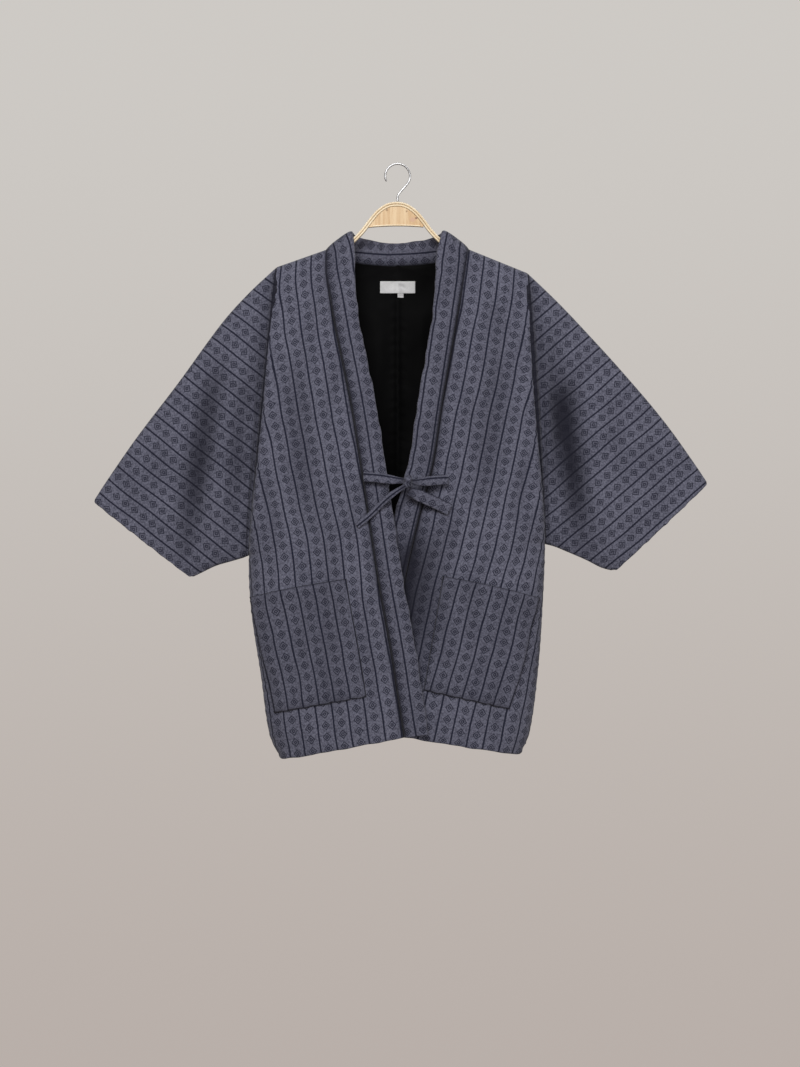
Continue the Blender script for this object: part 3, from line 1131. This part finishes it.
def makePlate():
    centres = hangerRoute(400)
    tangents = directions(centres)
    reach = hanger["halfThick"] + hanger["gap"]
    inside = np.stack([centres[:, 0] + tangents[:, 2] * reach, centres[:, 2] - tangents[:, 0] * reach], -1)
    inside = inside[inside[:, 1] > hanger["plateFoot"]]
    first, last = inside[0], inside[-1]
    middle = np.array([(first[0] + last[0]) / 2, hanger["plateFoot"] + 2 * hanger["plateBow"]])
    t = np.linspace(0, 1, 42)[1:-1, None]
    foot = (1 - t) ** 2 * last + 2 * t * (1 - t) * middle + t ** 2 * first
    deep = hanger["plateHalfDeep"]
    mesh = bpy.data.meshes.new("hangerPlate")
    work = bmesh.new()
    outline = np.concatenate([inside[::4], foot])
    face = work.faces.new([work.verts.new((x * mm, -deep * mm, z * mm)) for x, z in outline])
    made = bmesh.ops.extrude_face_region(work, geom=[face])
    moved = [v for v in made["geom"] if isinstance(v, bmesh.types.BMVert)]
    bmesh.ops.translate(work, verts=moved, vec=(0, 2 * deep * mm, 0))
    bmesh.ops.recalc_face_normals(work, faces=work.faces)
    rims = [e for f in work.faces if len(f.verts) > 4 for e in f.edges]
    bmesh.ops.bevel(work, geom=rims, offset=0.5 * mm, segments=2, affect="EDGES", profile=0.6)
    work.to_mesh(mesh)
    work.free()
    mesh.materials.append(plateWood)
    pieces = [addObject("hangerPlate", mesh)]
    strip = np.concatenate([last[None], foot, first[None]])[3:-3] + [0, hanger["footStrip"] / 2 + 0.2]
    wide = np.tile([0, 0, hanger["footStrip"] / 2], (len(strip), 1))
    thin = np.tile([0, 0.45, 0], (len(strip), 1))
    for sign in (1, -1):
        route = np.stack([strip[:, 0], np.full(len(strip), sign * (-deep - 0.15)), strip[:, 1]], -1)
        pieces.append(sweep("footStrip", route, wide, thin, 3.0, 12, palerWood))
    return joined("hangerPlate", pieces)


def makeHook():
    radius = hanger["hookInner"] + hanger["wire"]
    points = [(x, 0, hanger["hookFoot"] + up) for x, up in ((0, 0), (0, 6), (2, 13))]
    for degrees in range(-45, 206, 25):
        angle = math.radians(degrees)
        points.append((radius * math.cos(angle), 0, radius * math.sin(angle) - hanger["hookInner"]))
    centres = smoothRoute(points, 120)
    side = np.tile([0, hanger["wire"], 0], (len(centres), 1))
    other = np.cross(directions(centres), side)
    tip = np.ones((len(centres), 1))
    tip[-5:, 0] = [0.98, 0.94, 0.85, 0.68, 0.4]
    return sweep("hangerHook", centres, side * tip, other * tip, 2.0, 20, hookSteel)


print("hanger")
knots = [(-18.0, -76.0, 3.0, (0.30, 0.17, 0.07)), (15.0, -78.0, 2.6, (0.32, 0.18, 0.08)),
         (31.0, -89.5, 2.8, (0.14, 0.03, 0.02)), (25.0, -92.0, 6.5, (0.62, 0.38, 0.25))]
palerWood = woodMaterial("palerWood", (0.12, 1, 0.3), (0.86, 0.73, 0.52), (0.76, 0.59, 0.37))
plateWood = woodMaterial("plateWood", (1, 1, 0.06), (0.78, 0.58, 0.35), (0.58, 0.36, 0.17), knots)
glueLine = woodMaterial("glueLine", (0.1, 1, 0.4), (0.64, 0.47, 0.28), (0.52, 0.36, 0.20))
register(makeRails(), "hanger_bow", slot="bent_wood")
register(makePlate(), "hanger_plate", slot="bent_wood")
register(makeHook(), "hanger_hook", slot="hook_wire")


stitch = {"length": 3.4, "gap": 2.6, "radius": 0.38, "fromEdge": 4.0}


def stitchTree():
    tree = bpy.data.node_groups.new("stitches", "GeometryNodeTree")
    tree.interface.new_socket("Geometry", in_out="INPUT", socket_type="NodeSocketGeometry")
    for name in ("Stitch Length", "Stitch Gap", "Thread Radius"):
        tree.interface.new_socket(name, in_out="INPUT", socket_type="NodeSocketFloat")
    tree.interface.new_socket("Thread", in_out="INPUT", socket_type="NodeSocketMaterial")
    tree.interface.new_socket("Geometry", in_out="OUTPUT", socket_type="NodeSocketGeometry")
    given = makeNode(tree, "NodeGroupInput").socket.node.outputs
    route, length, gap, radius, thread = (Wire(tree, given[i]) for i in range(5))
    points = makeNode(tree, "GeometryNodeCurveToPoints", {"mode": "LENGTH"}, {"Curve": route,
                                                                              "Length": length + gap})
    turned = Wire(tree, points.socket.node.outputs["Rotation"])
    bead = makeNode(tree, "GeometryNodeMeshUVSphere", {}, {"Segments": 6, "Rings": 6, "Radius": 1.0})
    size = makeNode(tree, "ShaderNodeCombineXYZ", {}, [radius, radius, length * 0.5])
    spread = makeNode(tree, "GeometryNodeInstanceOnPoints", {}, {
        "Points": points, "Instance": bead, "Rotation": turned, "Scale": size})
    real = makeNode(tree, "GeometryNodeRealizeInstances", {}, {"Geometry": spread})
    smooth = makeNode(tree, "GeometryNodeSetShadeSmooth", {}, {"Geometry": real})
    dressed = makeNode(tree, "GeometryNodeSetMaterial", {}, {"Geometry": smooth, "Material": thread})
    out = tree.nodes.new("NodeGroupOutput")
    tree.links.new(dressed.socket, out.inputs[0])
    return tree


def sew(name, routes, thread, scale):
    curve = bpy.data.curves.new(name + "Route", "CURVE")
    curve.dimensions = "3D"
    for route in routes:
        spline = curve.splines.new("POLY")
        spline.points.add(len(route) - 1)
        spline.points.foreach_set("co", np.c_[np.asarray(route) * mm, np.ones(len(route))].ravel())
    guide = addObject(name + "Route", curve)
    modifier = guide.modifiers.new("stitches", "NODES")
    modifier.node_group = stitches
    given = {"Stitch Length": stitch["length"] * scale * mm, "Stitch Gap": stitch["gap"] * scale * mm,
             "Thread Radius": stitch["radius"] * scale * mm, "Thread": thread}
    for item in stitches.interface.items_tree:
        if item.item_type == "SOCKET" and item.in_out == "INPUT" and item.name in given:
            modifier[item.identifier] = given[item.name]
    bpy.context.view_layer.update()
    done = guide.evaluated_get(bpy.context.evaluated_depsgraph_get())
    piece = addObject(name, bpy.data.meshes.new_from_object(done))
    bpy.data.objects.remove(guide)
    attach(piece, "root")
    return piece


def pocketRoute(side):  # down the outer side, along the foot and up the inner side
    off = stitch["fromEdge"] / pocket["wide"][side]
    foot = 1 - stitch["fromEdge"] / pocket["tall"]
    falls = np.linspace(0.012, foot, 60)
    fall = np.concatenate([falls, np.full(48, foot), falls[::-1]])
    part = np.concatenate([np.full(60, 1 - off), np.linspace(1 - off, off, 50)[1:-1], np.full(60, off)])
    return pocketPoint(side, part, fall, -pocket["lift"] - pocket["thick"] - 0.12)


def labelRoute():  # once round the label, with a number of points for each side
    near = lining["ease"] + lining["thick"] + labels["gap"] + labels["thick"] + 0.02
    half = labels["wide"] / 2 - labels["stitchIn"]
    top, foot = labels["top"] - labels["stitchIn"], labels["top"] - labels["tall"] + labels["stitchIn"]
    corners = [(-half, top), (half, top), (half, foot), (-half, foot), (-half, top)]
    sides = [np.linspace(corners[i], corners[i + 1], count) for i, count in enumerate((30, 10, 30, 10))]
    x, z = np.concatenate(sides).T
    return onBack(x, z, near)


print("stitches")
stitches = stitchTree()
sew("pocketStitches", [pocketRoute(-1), pocketRoute(1)], navyThread, 1.0)
sew("labelStitches", [labelRoute()], paleThread, 0.42)


studio = {
    "cameraAt": (0.004, -4.02, -0.615), "frameTall": 1.771, "lensDistance": 4.0, "sensor": 36.0,
    "skyHigh": (0.615, 0.590, 0.560), "skyLow": (0.480, 0.425, 0.394), "skyStrength": 1.0, "skyLight": 0.45,
    "skyFade": (-0.26, 0.24), "floorAt": -1.76, "floorHalf": 0.62, "lampsAimAt": (0, 0, -0.55),
    "key": {"at": (-0.7, -3.4, 1.7), "size": 1.5, "watts": 112.0},
    "fill": {"at": (1.9, -3.2, -0.2), "size": 2.0, "watts": 34.0},
    "back": {"at": (0.4, 3.0, 1.4), "size": 2.4, "watts": 70.0},
}


def aim(thing, target):
    direction = Vector(target) - thing.location
    thing.rotation_euler = direction.to_track_quat("-Z", "Y").to_euler()


def makeStudio():
    lens = bpy.data.cameras.new("camera")
    lens.sensor_fit = "VERTICAL"
    lens.sensor_height = studio["sensor"]
    lens.lens = studio["sensor"] * studio["lensDistance"] / studio["frameTall"]
    scene.camera = addObject("camera", lens)
    scene.camera.location = studio["cameraAt"]
    scene.camera.rotation_euler = (math.pi / 2, 0, 0)
    for name in ("key", "fill", "back"):
        light = bpy.data.lights.new(name, "AREA")
        light.shape = "SQUARE"
        light.size = studio[name]["size"]
        light.energy = studio[name]["watts"]
        lamp = addObject(name, light)
        lamp.location = studio[name]["at"]
        aim(lamp, studio["lampsAimAt"])
    scene.world = bpy.data.worlds.new("studio")
    scene.world.use_nodes = True
    tree = scene.world.node_tree
    where = makeNode(tree, "ShaderNodeTexCoord")
    height = makeNode(tree, "ShaderNodeSeparateXYZ", {}, [where], output=2).fade(*studio["skyFade"])
    colour = mixColour(tree, height, studio["skyLow"], studio["skyHigh"])
    seen = makeNode(tree, "ShaderNodeLightPath")  # 1 where the camera looks at the backdrop
    strength = seen * (studio["skyStrength"] - studio["skyLight"]) + studio["skyLight"]
    for name, value in (("Color", colour), ("Strength", strength)):
        tree.links.new(value.socket, tree.nodes["Background"].inputs[name])
    mesh = bpy.data.meshes.new("floor")
    work = bmesh.new()
    bmesh.ops.create_grid(work, x_segments=4, y_segments=4, size=studio["floorHalf"])
    bmesh.ops.translate(work, verts=work.verts, vec=(0, 0, studio["floorAt"]))
    work.to_mesh(mesh)
    work.free()
    material, paper = newMaterial("floorPaper", {"Roughness": 0.9})
    fine = grain(paper, objectPlace(paper), 60.0, 2.0)
    colour = mixColour(paper, fine, (0.58, 0.55, 0.52), (0.61, 0.58, 0.55))
    mesh.materials.append(finishMaterial(material, colour, 0.85 + 0.1 * fine, fine, 0.0002, 0.2))
    addObject("floor", mesh)


print("studio")
makeStudio()
